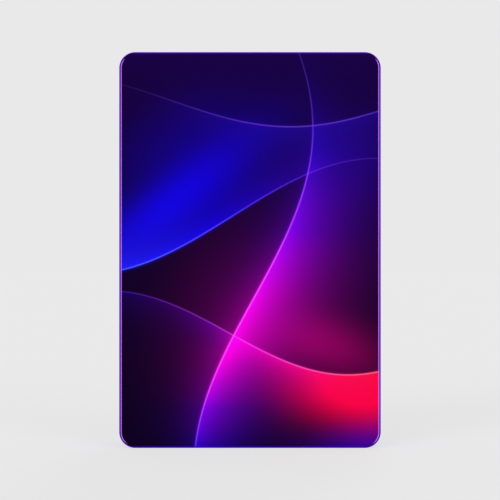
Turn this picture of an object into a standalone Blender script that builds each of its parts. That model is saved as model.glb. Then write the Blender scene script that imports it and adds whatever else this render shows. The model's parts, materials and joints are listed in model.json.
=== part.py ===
# Free-standing fabric display wall: a sewn, zipped cover stretched over a push-together tube frame.
# Lengths are in metres and +Z is up. The origin lies on the floor under the middle of the wall,
# X runs along its width, and the printed front faces -Y.
import math

import bmesh
import bpy
from mathutils import Matrix, Vector

# Whole wall, measured over the fabric
WALL_WIDTH = 1.500
WALL_HEIGHT = 2.270
WALL_DEPTH = 0.300
CORNER_RADIUS = 0.092

# Fits
FIT_GAP = 0.0003
CUT_OVERRUN = 0.002

# Cover
FABRIC_THICKNESS = 0.0008
SEAM_SHARE = 0.88

# Frame tubes
RING_DIAMETER = 0.032
BAR_DIAMETER = 0.025
TUBE_WALL = 0.0015
CORNER_LEG = 0.420
SPIGOT_LENGTH = 0.045
SHOULDER_LENGTH = 0.003
PEG_LENGTH = 0.038
SPREADER_INSET = 0.150
SPREADER_RISE = 0.080

# Snap clips
SNAP_OFFSET = 0.022
SNAP_TRAVEL = 0.005
PIN_PROUD = 0.003
PIN_DOME = 0.002
RING_PIN_DIAMETER = 0.0080
BAR_PIN_DIAMETER = 0.0065
RING_LEAF_WIDTH = 0.010
BAR_LEAF_WIDTH = 0.008
LEAF_THICKNESS = 0.0008
LEAF_AHEAD = 0.008
LEAF_BEHIND = 0.032
LEAF_BEND_SHARE = 0.15

# Zip
ZIP_INSET = 0.100
ZIP_CLEARANCE = 0.010
TAPE_WIDTH = 0.016
TAPE_THICKNESS = 0.0008
CHAIN_GAP = 0.0012
CHAIN_WIDTH = 0.0024
CHAIN_PROUD = 0.0007
CHAIN_INSET = 0.020
SLOT_MARGIN = 0.010
SLOT_HEIGHT = 0.010
STOP_LENGTH = 0.003
STOP_HEIGHT = 0.0024
SLIDER_LENGTH = 0.014
SLIDER_END_GAP = 0.003
SLIDER_PLATE = 0.0012
SLIDER_FLANGE = 0.0008
SLIDER_RUN_GAP = 0.0005
BLADE_LENGTH = 0.004
BLADE_THICKNESS = 0.0006
BASE_PLATE_DROP = 0.0003
BRIDGE_LENGTH = 0.009
BRIDGE_WIDTH = 0.0024
BRIDGE_THICKNESS = 0.0010
BRIDGE_OPENING = 0.0022
PULL_LENGTH = 0.038
PULL_WIDTH = 0.0064
PULL_THICKNESS = 0.0012
PULL_WINDOW_LENGTH = 0.0048
PULL_WINDOW_WIDTH = 0.0032

# Facets
CORNER_STEPS = 8
TUBE_SIDES = 12
EDGE_STEPS = TUBE_SIDES // 4
PIN_SIDES = 12
DOME_STEPS = 2
BEND_STEPS = 4
END_STEPS = 8

# Places that follow from the sizes above
ring_radius = RING_DIAMETER / 2
bar_radius = BAR_DIAMETER / 2
ring_spigot_radius = ring_radius - TUBE_WALL - FIT_GAP
bar_spigot_radius = bar_radius - TUBE_WALL - FIT_GAP
edge_radius = ring_radius + FIT_GAP + FABRIC_THICKNESS
bend_radius = CORNER_RADIUS - edge_radius
ring_x = WALL_WIDTH / 2 - edge_radius
ring_y = WALL_DEPTH / 2 - edge_radius
ring_low = edge_radius
ring_high = WALL_HEIGHT - edge_radius
joint_low = ring_low + bend_radius + CORNER_LEG
joint_high = ring_high - bend_radius - CORNER_LEG
bar_height = WALL_HEIGHT / 2
spreader_x = WALL_WIDTH / 2 - SPREADER_INSET
spreader_mid_height = bar_height + SPREADER_RISE
ring_y_of = {"front": -ring_y, "back": ring_y}
inward_of = {"front": Vector((0, 1, 0)), "back": Vector((0, -1, 0))}
side_of = {"left": -1, "right": 1}

chain_inner = CHAIN_GAP / 2
chain_outer = chain_inner + CHAIN_WIDTH
zip_height = ring_low + ring_radius + ZIP_CLEARANCE + TAPE_WIDTH + chain_inner
tape_half = WALL_WIDTH / 2 - ZIP_INSET
chain_half = tape_half - CHAIN_INSET
panel_inside = WALL_DEPTH / 2 - FABRIC_THICKNESS
tape_outside = panel_inside - FIT_GAP
tape_inside = tape_outside - TAPE_THICKNESS
chain_top = WALL_DEPTH / 2 + CHAIN_PROUD
plate_low = chain_top + SLIDER_RUN_GAP
plate_top = plate_low + SLIDER_PLATE
slider_half_width = chain_outer + FIT_GAP + SLIDER_FLANGE
slider_rest = chain_half - SLIDER_LENGTH / 2 - SLIDER_END_GAP
hinge_y = plate_top + BRIDGE_OPENING / 2


def clear_scene():
    for old in list(bpy.data.objects):
        bpy.data.objects.remove(old, do_unlink=True)


def new_collection(name):
    collection = bpy.data.collections.new(name)
    bpy.context.scene.collection.children.link(collection)
    return collection


def finish(name, colour, roughness, metallic):
    material = bpy.data.materials.new(name)
    material.use_nodes = True
    shader = material.node_tree.nodes["Principled BSDF"]
    shader.inputs["Base Color"].default_value = (*colour, 1)
    shader.inputs["Roughness"].default_value = roughness
    shader.inputs["Metallic"].default_value = metallic
    return material


def add_part(name, mesh, material, place=None):
    """One named piece of the wall in its own material."""
    mesh.shade_smooth()
    mesh.set_sharp_from_angle(angle=math.radians(35))
    part = bpy.data.objects.new(name, mesh)
    if place is not None:
        part.matrix_world = place
    if not mesh.materials:
        mesh.materials.append(material)
    part_collection.objects.link(part)
    return part


def add_cutter(name, mesh, place=None):
    """A helper solid that a Boolean cuts away or joins on."""
    helper = bpy.data.objects.new(name, mesh)
    if place is not None:
        helper.matrix_world = place
    helper.hide_render = True
    helper.display_type = "WIRE"
    cutter_collection.objects.link(helper)
    return helper


def combine(part, helper, operation):
    boolean = part.modifiers.new(f"{operation.lower()} {helper.name}", "BOOLEAN")
    boolean.operation = operation
    boolean.object = helper
    boolean.solver = "EXACT"


def thicken(part, thickness, offset):
    solidify = part.modifiers.new("thickness", "SOLIDIFY")
    solidify.thickness = thickness
    solidify.offset = offset
    solidify.use_even_offset = True


def mesh_from(bm, name):
    mesh = bpy.data.meshes.new(name)
    bm.to_mesh(mesh)
    bm.free()
    return mesh


def evaluated_mesh(source):
    """The mesh of an object as its modifiers leave it, with the object then removed."""
    bpy.context.view_layer.update()
    graph = bpy.context.evaluated_depsgraph_get()
    mesh = bpy.data.meshes.new_from_object(source.evaluated_get(graph))
    mesh.transform(source.matrix_world)
    bpy.data.objects.remove(source, do_unlink=True)
    return mesh


def block_mesh(name, low, high):
    """A box between two opposite corners."""
    low, high = Vector(low), Vector(high)
    bm = bmesh.new()
    place = Matrix.Translation((low + high) / 2) @ Matrix.Diagonal((*(high - low), 1))
    bmesh.ops.create_cube(bm, size=1, matrix=place)
    return mesh_from(bm, name)


def rod_mesh(name, points, radii, capped):
    """A round section swept along points, with a radius at each of them."""
    curve = bpy.data.curves.new(name, "CURVE")
    curve.dimensions = "3D"
    curve.bevel_depth = 1
    curve.bevel_resolution = (TUBE_SIDES - 4) // 2
    curve.use_fill_caps = capped
    spline = curve.splines.new("POLY")
    spline.points.add(len(points) - 1)
    for knot, place, radius in zip(spline.points, points, radii):
        knot.co = (*place, 1)
        knot.radius = radius
    rod = bpy.data.objects.new(name, curve)
    cutter_collection.objects.link(rod)
    mesh = evaluated_mesh(rod)
    bm = bmesh.new()
    bm.from_mesh(mesh)
    bmesh.ops.remove_doubles(bm, verts=bm.verts, dist=FIT_GAP / 10)
    bmesh.ops.recalc_face_normals(bm, faces=bm.faces)
    bm.to_mesh(mesh)
    bm.free()
    return mesh


def add_tube(name, points, radii):
    tube = add_part(name, rod_mesh(name, points, radii, False), aluminium)
    thicken(tube, TUBE_WALL, -1)
    return tube


def facing(origin, along, up):
    """A placement whose local X points along and whose local Z points up."""
    side = up.cross(along)
    axes = Matrix((along, side, up)).transposed().to_4x4()
    return Matrix.Translation(origin) @ axes


def arc(centre, radius, start, end, steps):
    """Points (a, b) on an arc in a plane, with angles in radians."""
    turns = [start + (end - start) * step / steps for step in range(steps + 1)]
    return [
        (centre[0] + radius * math.cos(turn), centre[1] + radius * math.sin(turn))
        for turn in turns
    ]


# The cover's outer surface is one box: its four long corners are rounded to the corner radius,
# and then both rims are rounded over the frame tubes.
def rounded_box():
    bm = bmesh.new()
    middle = Matrix.Translation((0, 0, WALL_HEIGHT / 2))
    size = Matrix.Diagonal((WALL_WIDTH, WALL_DEPTH, WALL_HEIGHT, 1))
    bmesh.ops.create_cube(bm, size=1, matrix=middle @ size)
    for direction, radius, steps in (
        (True, CORNER_RADIUS, CORNER_STEPS),
        (False, edge_radius, EDGE_STEPS),
    ):
        edges = []
        for edge in bm.edges:
            along = (edge.verts[1].co - edge.verts[0].co).normalized()
            if (abs(along.y) > math.cos(math.radians(1))) == direction:
                edges.append(edge)
        bmesh.ops.bevel(
            bm,
            geom=edges,
            offset=radius,
            offset_type="OFFSET",
            segments=steps,
            profile=0.5,
            affect="EDGES",
            clamp_overlap=False,
        )
    return bm


def keep_side(bm, point, direction):
    """Cuts the surface by a plane and keeps the side that the direction points to."""
    everything = list(bm.verts) + list(bm.edges) + list(bm.faces)
    bmesh.ops.bisect_plane(
        bm, geom=everything, plane_co=point, plane_no=direction, clear_inner=True
    )


def add_cloth(name, planes, material):
    """The part of the cover's surface inside the planes, thickened inwards to one fabric."""
    bm = rounded_box()
    for point, direction in planes:
        keep_side(bm, point, direction)
    cloth = add_part(name, mesh_from(bm, name), material)
    thicken(cloth, FABRIC_THICKNESS, -1)
    return cloth


def make_cover():
    half_step = math.pi / 4 / EDGE_STEPS
    seam_y = WALL_DEPTH / 2 - SEAM_SHARE * edge_radius * (1 - math.cos(2 * half_step))
    seam_gap = FIT_GAP * math.sin(half_step)
    panel_edge = seam_y + seam_gap / 2
    gusset_edge = seam_y - seam_gap / 2
    front = Vector((0, -1, 0))
    add_cloth("front_panel", [(panel_edge * front, front)], printed_fabric)
    back_panel = add_cloth("back_panel", [(-panel_edge * front, -front)], back_fabric)

    # The gusset is four strips that meet halfway round each corner.
    corner_x = WALL_WIDTH / 2 - CORNER_RADIUS
    corner_z = WALL_HEIGHT / 2 - CORNER_RADIUS
    middle = Vector((0, 0, WALL_HEIGHT / 2))
    for name, outwards, across in (
        ("gusset_top", Vector((0, 0, 1)), Vector((1, 0, 0))),
        ("gusset_bottom", Vector((0, 0, -1)), Vector((1, 0, 0))),
        ("gusset_left", Vector((-1, 0, 0)), Vector((0, 0, 1))),
        ("gusset_right", Vector((1, 0, 0)), Vector((0, 0, 1))),
    ):
        planes = [(gusset_edge * front, -front), (-gusset_edge * front, front)]
        for side in (-1, 1):
            towards = outwards + side * across
            centre = middle + Vector((towards.x * corner_x, 0, towards.z * corner_z))
            direction = (outwards - side * across).normalized()
            planes.append((centre + direction * FIT_GAP / 2, direction))
        add_cloth(name, planes, edge_fabric)

    slot_half = chain_half + SLOT_MARGIN
    slot = add_cutter(
        "zip_slot",
        block_mesh(
            "zip_slot",
            (-slot_half, panel_inside - CUT_OVERRUN, zip_height - SLOT_HEIGHT / 2),
            (slot_half, WALL_DEPTH / 2 + CUT_OVERRUN, zip_height + SLOT_HEIGHT / 2),
        ),
    )
    combine(back_panel, slot, "DIFFERENCE")


def spigot(joint, outwards, spigot_radius, tube_radius):
    """Places along a line, and radii, from a spigot's tip back to the full tube."""
    face = joint - outwards * FIT_GAP / 2
    return (
        [joint + outwards * SPIGOT_LENGTH, face, face - outwards * SHOULDER_LENGTH],
        [spigot_radius, spigot_radius, tube_radius],
    )


def add_peg(part, name, centre, direction):
    """A solid stub, welded through a ring tube's wall, that a bar is pushed over."""
    flank = math.sqrt(ring_radius**2 - bar_spigot_radius**2)
    root = centre + direction * (flank - TUBE_WALL)
    tip = centre + direction * (ring_radius + PEG_LENGTH)
    mesh = rod_mesh(name, [root, tip], [bar_spigot_radius] * 2, True)
    combine(part, add_cutter(name, mesh), "UNION")


def snap_hole(name, centre, direction, pin_diameter, tube_radius):
    """The hole for a snap pin, from a joint's axis out through spigot and socket."""
    radius = pin_diameter / 2 + FIT_GAP
    end = centre + direction * (tube_radius + CUT_OVERRUN)
    return add_cutter(name, rod_mesh(name, [centre, end], [radius] * 2, True))


# Each ring lies behind one face of the cover: four bent corner tubes and two posts.
def make_ring(face):
    y = ring_y_of[face]
    inward = inward_of[face]
    clip_places = {}
    for level in ("top", "bottom"):
        up = 1 if level == "top" else -1
        flat_z = ring_high if level == "top" else ring_low
        joint_z = joint_high if level == "top" else joint_low
        seam = Vector((0, y, flat_z))
        hole = snap_hole(
            f"hole_{face}_{level}",
            seam + Vector((SNAP_OFFSET, 0, 0)),
            inward,
            RING_PIN_DIAMETER,
            ring_radius,
        )
        clip_places[level] = (seam, Vector((1, 0, 0)))
        for side, sign in side_of.items():
            name = f"{face}_{level}_{side}"
            if side == "left":
                points, radii = spigot(
                    seam, Vector((1, 0, 0)), ring_spigot_radius, ring_radius
                )
            else:
                points, radii = [seam + Vector((FIT_GAP / 2, 0, 0))], [ring_radius]
            bend = arc((0, 0), bend_radius, math.pi / 2, 0, CORNER_STEPS)
            bend_centre = Vector((sign * (ring_x - bend_radius), y, flat_z - up * bend_radius))
            for a, b in bend:
                points.append(bend_centre + Vector((sign * a, 0, up * b)))
                radii.append(ring_radius)
            joint = Vector((sign * ring_x, y, joint_z))
            points.append(joint + Vector((0, 0, up * FIT_GAP / 2)))
            radii.append(ring_radius)
            corner = add_tube(f"corner_tube_{name}", points, radii)
            combine(corner, hole, "DIFFERENCE")
            upright_hole = snap_hole(
                f"hole_{name}",
                joint + Vector((0, 0, up * SNAP_OFFSET)),
                inward,
                RING_PIN_DIAMETER,
                ring_radius,
            )
            combine(corner, upright_hole, "DIFFERENCE")
            add_peg(corner, f"peg_{name}", Vector((sign * spreader_x, y, flat_z)), inward)
            clip_places[f"{side}_{'upper' if level == 'top' else 'lower'}"] = (
                joint,
                Vector((0, 0, up)),
            )
    for side, sign in side_of.items():
        low = Vector((sign * ring_x, y, joint_low))
        high = Vector((sign * ring_x, y, joint_high))
        low_points, low_radii = spigot(
            low, Vector((0, 0, -1)), ring_spigot_radius, ring_radius
        )
        high_points, high_radii = spigot(
            high, Vector((0, 0, 1)), ring_spigot_radius, ring_radius
        )
        post = add_tube(
            f"post_{face}_{side}", low_points + high_points[::-1], low_radii + high_radii[::-1]
        )
        for level in ("top", "bottom"):
            combine(post, bpy.data.objects[f"hole_{face}_{level}_{side}"], "DIFFERENCE")
        spreader_end = Vector((sign * ring_x, y, spreader_mid_height))
        add_peg(post, f"peg_{face}_{side}_spreader", spreader_end, inward)
        bar_end = Vector((sign * ring_x, y, bar_height))
        add_peg(post, f"peg_{face}_{side}_crossbar", bar_end, Vector((-sign, 0, 0)))
    for place, (joint, outwards) in clip_places.items():
        add_clip(f"snap_clip_{face}_{place}", joint, outwards, inward, ring_clip_mesh)


# A crossbar in two halves joins the posts of one ring, and a snap clip locks its middle joint.
def make_crossbar(face):
    y = ring_y_of[face]
    inward = inward_of[face]
    right = Vector((1, 0, 0))
    joint = Vector((0, y, bar_height))
    end_x = ring_x - ring_radius - FIT_GAP
    points, radii = spigot(joint, right, bar_spigot_radius, bar_radius)
    left_end = Vector((-end_x, y, bar_height))
    left_half = add_tube(
        f"crossbar_{face}_left", points + [left_end], radii + [bar_radius]
    )
    right_half = add_tube(
        f"crossbar_{face}_right",
        [joint + right * FIT_GAP / 2, Vector((end_x, y, bar_height))],
        [bar_radius] * 2,
    )
    hole = snap_hole(
        f"hole_{face}_crossbar",
        joint + right * SNAP_OFFSET,
        inward,
        BAR_PIN_DIAMETER,
        bar_radius,
    )
    for half in (left_half, right_half):
        combine(half, hole, "DIFFERENCE")
    add_clip(f"snap_clip_{face}_crossbar", joint, right, inward, bar_clip_mesh)


# Spreaders hold the two rings apart and give the wall its depth.
def make_spreaders():
    end_y = ring_y - ring_radius - FIT_GAP
    for level, x, z in (
        ("top", spreader_x, ring_high),
        ("mid", ring_x, spreader_mid_height),
        ("bottom", spreader_x, ring_low),
    ):
        for side, sign in side_of.items():
            ends = [Vector((sign * x, -end_y, z)), Vector((sign * x, end_y, z))]
            add_tube(f"spreader_{level}_{side}", ends, [bar_radius] * 2)


# A snap clip is a V of spring strip with a domed pin riveted near its open end. Its origin lies on
# the tube's axis under the pin, local X points into the socket, and local Z is the pin's direction.
def clip_mesh(name, pin_diameter, leaf_width, spigot_radius, tube_radius):
    bore = spigot_radius * math.cos(math.pi / TUBE_SIDES) - TUBE_WALL
    seat = math.sqrt(bore**2 - (leaf_width / 2) ** 2) - FIT_GAP
    upper = seat - LEAF_THICKNESS / 2
    lower = SNAP_TRAVEL - seat + LEAF_THICKNESS / 2
    turn_radius = LEAF_BEND_SHARE * (upper - lower)
    turn = arc(
        (-LEAF_BEHIND, upper - turn_radius),
        turn_radius,
        math.pi / 2,
        3 * math.pi / 2,
        BEND_STEPS,
    )
    route = [(LEAF_AHEAD, upper)] + turn + [(LEAF_AHEAD, lower)]
    bm = bmesh.new()
    knots = [bm.verts.new((x, -leaf_width / 2, z)) for x, z in route]
    edges = [bm.edges.new(pair) for pair in zip(knots, knots[1:])]
    sheet = bmesh.ops.extrude_edge_only(bm, edges=edges)["geom"]
    moved = [item for item in sheet if isinstance(item, bmesh.types.BMVert)]
    bmesh.ops.translate(bm, verts=moved, vec=(0, leaf_width, 0))
    strip = add_cutter(name, mesh_from(bm, name))
    thicken(strip, LEAF_THICKNESS, 0)

    pin_radius = pin_diameter / 2
    top = tube_radius + PIN_PROUD
    foot = seat - 2 * LEAF_THICKNESS
    dome = [
        (pin_radius * math.sin(turn), top - PIN_DOME * (1 - math.cos(turn)))
        for turn in (math.pi / 2 * step / DOME_STEPS for step in range(DOME_STEPS + 1))
    ]
    profile = dome + [(pin_radius, foot), (0, foot)]
    bm = bmesh.new()
    knots = [bm.verts.new((r, 0, z)) for r, z in profile]
    for pair in zip(knots, knots[1:]):
        bm.edges.new(pair)
    pin = add_cutter(f"{name}_pin", mesh_from(bm, f"{name}_pin"))
    screw = pin.modifiers.new("turn", "SCREW")
    screw.steps = PIN_SIDES
    screw.render_steps = PIN_SIDES
    screw.use_merge_vertices = True
    screw.merge_threshold = FIT_GAP / 10
    combine(strip, pin, "UNION")
    mesh = evaluated_mesh(strip)
    bpy.data.objects.remove(pin, do_unlink=True)
    return mesh


def add_clip(name, joint, outwards, inward, mesh):
    origin = joint + outwards * SNAP_OFFSET
    return add_part(name, mesh, spring_steel, facing(origin, outwards, inward))


# The zip closes a slot low in the back panel: two tapes behind the fabric carry half a chain each.
def make_zip():
    for name, side in (("upper", 1), ("lower", -1)):
        edges = sorted((side * chain_inner, side * (chain_inner + TAPE_WIDTH)))
        tape_mesh = block_mesh(
            f"zip_tape_{name}",
            (-tape_half, tape_inside, zip_height + edges[0]),
            (tape_half, tape_outside, zip_height + edges[1]),
        )
        tape = add_part(f"zip_tape_{name}", tape_mesh, zip_cloth)
        edges = sorted((side * chain_inner, side * chain_outer))
        chain_mesh = block_mesh(
            f"zip_chain_{name}",
            (-chain_half, tape_outside - TAPE_THICKNESS / 2, zip_height + edges[0]),
            (chain_half, chain_top, zip_height + edges[1]),
        )
        combine(tape, add_cutter(f"zip_chain_{name}", chain_mesh), "UNION")
    for name, side in side_of.items():
        ends = sorted(
            (side * (chain_half + FIT_GAP), side * (chain_half + FIT_GAP + STOP_LENGTH))
        )
        stop_low = tape_outside + FIT_GAP
        stop_mesh = block_mesh(
            f"zip_stop_{name}",
            (ends[0], stop_low, zip_height - chain_outer),
            (ends[1], stop_low + STOP_HEIGHT, zip_height + chain_outer),
        )
        add_part(f"zip_stop_{name}", stop_mesh, zip_metal)


# The slider straddles the chain: a cover plate with two flanges outside, a base plate behind the
# tapes, and a blade between the half chains that joins them. The pull turns in the bridge on top.
def make_slider():
    place = Matrix.Translation((slider_rest, hinge_y, zip_height))

    def local_block(name, low, high):
        return block_mesh(
            name, (low[0], low[1] - hinge_y, low[2]), (high[0], high[1] - hinge_y, high[2])
        )

    half = SLIDER_LENGTH / 2
    wide = slider_half_width
    slider = add_part(
        "zip_slider",
        local_block("zip_slider", (-half, plate_low, -wide), (half, plate_top, wide)),
        zip_metal,
        place,
    )
    inside = chain_outer + FIT_GAP
    flange_low = tape_outside + FIT_GAP
    for name, side in (("upper", 1), ("lower", -1)):
        edges = sorted((side * inside, side * wide))
        flange = local_block(
            f"slider_flange_{name}",
            (-half, flange_low, edges[0]),
            (half, plate_low + SLIDER_PLATE / 2, edges[1]),
        )
        combine(slider, add_cutter(f"slider_flange_{name}", flange, place), "UNION")
    base_top = tape_inside - BASE_PLATE_DROP
    base_low = base_top - SLIDER_PLATE
    base = local_block("slider_base", (-half, base_low, -wide), (half, base_top, wide))
    base_cutter = add_cutter("slider_base", base, place)
    blade = local_block(
        "slider_blade",
        (-BLADE_LENGTH / 2, base_low + SLIDER_PLATE / 2, -BLADE_THICKNESS / 2),
        (BLADE_LENGTH / 2, plate_low + SLIDER_PLATE / 2, BLADE_THICKNESS / 2),
    )
    combine(slider, add_cutter("slider_blade", blade, place), "UNION")
    combine(slider, base_cutter, "UNION")

    bridge_top = plate_top + BRIDGE_OPENING + BRIDGE_THICKNESS
    bridge = local_block(
        "slider_bridge",
        (-BRIDGE_LENGTH / 2, plate_low + SLIDER_PLATE / 2, -BRIDGE_WIDTH / 2),
        (BRIDGE_LENGTH / 2, bridge_top, BRIDGE_WIDTH / 2),
    )
    combine(slider, add_cutter("slider_bridge", bridge, place), "UNION")
    eye_half = BRIDGE_LENGTH / 2 - BRIDGE_THICKNESS
    eye = local_block(
        "slider_eye",
        (-eye_half, plate_top, -BRIDGE_WIDTH / 2 - CUT_OVERRUN),
        (eye_half, plate_top + BRIDGE_OPENING, BRIDGE_WIDTH / 2 + CUT_OVERRUN),
    )
    combine(slider, add_cutter("slider_eye", eye, place), "DIFFERENCE")


# The pull is a flat tab with a window: the bar at the window's end lies under the bridge.
def make_pull():
    curve = bpy.data.curves.new("zip_pull", "CURVE")
    curve.dimensions = "2D"
    curve.fill_mode = "BOTH"
    curve.extrude = PULL_THICKNESS / 2
    half = PULL_WIDTH / 2
    bar_half = PULL_THICKNESS / 2
    far_end = bar_half - PULL_LENGTH
    tip = arc((far_end + half, 0), half, math.pi / 2, 3 * math.pi / 2, END_STEPS)
    outline = [(bar_half, half)] + tip + [(bar_half, -half)]
    window_near = -bar_half
    window_far = window_near - PULL_WINDOW_LENGTH
    window_half = PULL_WINDOW_WIDTH / 2
    window = [
        (window_near, window_half),
        (window_far, window_half),
        (window_far, -window_half),
        (window_near, -window_half),
    ]
    for points in (outline, window):
        spline = curve.splines.new("POLY")
        spline.use_cyclic_u = True
        spline.points.add(len(points) - 1)
        for knot, (a, b) in zip(spline.points, points):
            knot.co = (a, b, 0, 1)
    flat = bpy.data.objects.new("zip_pull_outline", curve)
    cutter_collection.objects.link(flat)
    mesh = evaluated_mesh(flat)
    bm = bmesh.new()
    bm.from_mesh(mesh)
    bmesh.ops.remove_doubles(bm, verts=bm.verts, dist=FIT_GAP / 10)
    bmesh.ops.recalc_face_normals(bm, faces=bm.faces)
    bm.to_mesh(mesh)
    bm.free()
    origin = Vector((slider_rest, hinge_y, zip_height))
    add_part(
        "zip_pull", mesh, zip_metal, facing(origin, Vector((1, 0, 0)), Vector((0, -1, 0)))
    )


clear_scene()
part_collection = new_collection("fabric_display_wall")
cutter_collection = new_collection("cutters")
cutter_collection.hide_render = True

printed_fabric = finish("printed_fabric", (0.09, 0.002, 0.19), 0.8, 0.0)
edge_fabric = finish("edge_fabric", (0.19, 0.01, 0.78), 0.8, 0.0)
back_fabric = finish("back_fabric", (0.02, 0.004, 0.07), 0.8, 0.0)
zip_cloth = finish("zip_cloth", (0.012, 0.012, 0.015), 0.8, 0.0)
zip_metal = finish("zip_metal", (0.09, 0.09, 0.1), 0.35, 1.0)
aluminium = finish("aluminium_tube", (0.78, 0.79, 0.8), 0.35, 1.0)
spring_steel = finish("spring_steel", (0.5, 0.5, 0.52), 0.3, 1.0)

ring_clip_mesh = clip_mesh(
    "ring_clip", RING_PIN_DIAMETER, RING_LEAF_WIDTH, ring_spigot_radius, ring_radius
)
bar_clip_mesh = clip_mesh(
    "bar_clip", BAR_PIN_DIAMETER, BAR_LEAF_WIDTH, bar_spigot_radius, bar_radius
)

make_cover()
for ring_face in ("front", "back"):
    make_ring(ring_face)
    make_crossbar(ring_face)
make_spreaders()
make_zip()
make_slider()
make_pull()
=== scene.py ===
import json
from functools import partialmethod
from math import atan2, copysign, cos, degrees, exp, pi, radians, sin, sqrt, tau

import bmesh
import bpy
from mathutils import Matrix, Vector

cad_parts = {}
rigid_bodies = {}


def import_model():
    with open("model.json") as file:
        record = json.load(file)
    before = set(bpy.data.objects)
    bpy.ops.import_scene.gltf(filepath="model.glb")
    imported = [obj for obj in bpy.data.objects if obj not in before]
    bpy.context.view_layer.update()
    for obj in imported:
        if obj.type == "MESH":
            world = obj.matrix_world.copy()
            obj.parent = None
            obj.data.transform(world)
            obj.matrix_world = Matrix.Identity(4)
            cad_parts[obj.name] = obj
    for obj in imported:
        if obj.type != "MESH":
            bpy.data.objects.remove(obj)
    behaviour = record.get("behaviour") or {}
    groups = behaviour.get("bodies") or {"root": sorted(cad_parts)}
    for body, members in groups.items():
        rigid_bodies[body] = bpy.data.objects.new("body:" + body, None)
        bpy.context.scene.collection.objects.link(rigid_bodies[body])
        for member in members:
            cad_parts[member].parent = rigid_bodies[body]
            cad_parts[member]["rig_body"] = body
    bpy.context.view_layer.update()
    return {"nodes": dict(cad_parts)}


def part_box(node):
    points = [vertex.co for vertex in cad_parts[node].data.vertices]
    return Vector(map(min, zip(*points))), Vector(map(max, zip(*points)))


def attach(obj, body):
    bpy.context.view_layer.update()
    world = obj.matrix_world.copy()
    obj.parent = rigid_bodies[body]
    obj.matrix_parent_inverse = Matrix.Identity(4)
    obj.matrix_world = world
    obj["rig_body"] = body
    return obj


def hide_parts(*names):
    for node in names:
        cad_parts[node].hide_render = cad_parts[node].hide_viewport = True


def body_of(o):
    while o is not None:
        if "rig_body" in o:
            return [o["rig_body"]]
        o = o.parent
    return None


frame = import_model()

scene = bpy.context.scene

cover = {
    "cornerRadius": 0.092,  # outside, as the front shows it
    "edgeRadius": 0.0171,  # the cloth's outside where it runs over a ring tube
    "seamTurn": 28.4,  # degrees round that edge where a panel is sewn to the gusset
    "seamGap": 0.00008,
    "clothThickness": 0.0004,
    "hemDepth": 0.0007,  # how far a cut edge is turned in
    "hemRoll": 0.0005,
    "cornerSteps": 18,
    "edgeSteps": 8,
    "shrink": 0.96,  # the cut is smaller than the frame, so that the cloth is tight
    "weaveDrop": 0.7,  # how far the knit of a panel runs on over the edge
}
mergeWithin = 0.00001

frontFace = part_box("front_panel")[0].y
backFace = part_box("back_panel")[1].y
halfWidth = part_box("gusset_right")[1].x
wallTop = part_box("gusset_top")[1].z
midHeight = wallTop / 2
halfDepth = (backFace - frontFace) / 2
cornerRadius = cover["cornerRadius"]
edgeRadius = cover["edgeRadius"]
flatReach = cornerRadius - edgeRadius
seamTurn = radians(cover["seamTurn"])
coreHalf = Vector((halfWidth - cornerRadius, midHeight - cornerRadius))
sideHalf = halfDepth - edgeRadius


# Node helpers
def feed(target, value):
    # sets an input to a number, vector or colour code, or links a socket or field to it
    value = value.socket if isinstance(value, Field) else value
    if isinstance(value, bpy.types.NodeSocket):
        target.id_data.links.new(value, target)
    elif isinstance(value, str):
        target.default_value = linear(value)[: len(target.default_value)]
    else:
        target.default_value = value


def addNode(near, kind, inputs=None, output=0, **settings):
    # a node in the same tree as near, with its inputs fed, as one of its output sockets
    node = near.id_data.nodes.new(kind)
    for label, value in settings.items():
        setattr(node, label, value)
    for label, value in (inputs or {}).items():
        feed(node.inputs[label], value)
    return node.outputs[output]


class Field:  # a number that varies over a surface, made of Math nodes
    def __init__(self, socket):
        self.socket = socket
        self.id_data = socket.id_data

    def math(self, operation, *others):
        inputs = dict(enumerate((self, *others)))
        return Field(addNode(self, "ShaderNodeMath", inputs, operation=operation))

    __add__ = partialmethod(math, "ADD")
    __sub__ = partialmethod(math, "SUBTRACT")
    __mul__ = partialmethod(math, "MULTIPLY")
    __truediv__ = partialmethod(math, "DIVIDE")
    __neg__ = partialmethod(math, "MULTIPLY", -1)
    sine = partialmethod(math, "SINE")
    cosine = partialmethod(math, "COSINE")
    exponent = partialmethod(math, "EXPONENT")

    def scaled(self, times, plus):
        return self * times + plus

    def bell(self, width):  # 1 at zero, fading on both sides
        share = self / width
        return (-(share * share)).exponent()

    def fade(self, ahead, behind):  # 1 at zero, fading slowly one way and fast the other
        return (-(self / ahead).math("MAXIMUM", self / -behind)).exponent()

    def rise(self, start, end):  # a smooth step from 0 to 1
        inputs = {"Value": self, "From Min": start, "From Max": end}
        return Field(addNode(self, "ShaderNodeMapRange", inputs, interpolation_type="SMOOTHSTEP"))

    def ramp(self, *stops):  # colours along this field, each with its place from 0 to 1
        colours = addNode(self, "ShaderNodeValToRGB", {"Fac": self})
        band = colours.node.color_ramp
        while len(band.elements) < len(stops):
            band.elements.new(1)
        for element, (place, colour) in zip(band.elements, stops):
            element.position = place
            element.color = linear(colour)
        return colours


def linear(code):
    # a web colour code as the linear colour that the shaders take
    parts = [int(code[place : place + 2], 16) / 255 for place in (0, 2, 4)]
    return [p / 12.92 if p <= 0.04045 else ((p + 0.055) / 1.055) ** 2.4 for p in parts] + [1]


def newMaterial(name, look):
    # what the look names as the shader does is set on the shader
    material = bpy.data.materials.new(name)
    material.use_nodes = True
    shader = material.node_tree.nodes["Principled BSDF"]
    for label, value in look.items():
        if label in shader.inputs:
            feed(shader.inputs[label], value)
    return material, shader


def finishLook(shader, colour, height, depth):
    bump = addNode(shader, "ShaderNodeBump", {"Height": height, "Distance": depth})
    feed(shader.inputs["Base Color"], colour)
    feed(shader.inputs["Normal"], bump)


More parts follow.
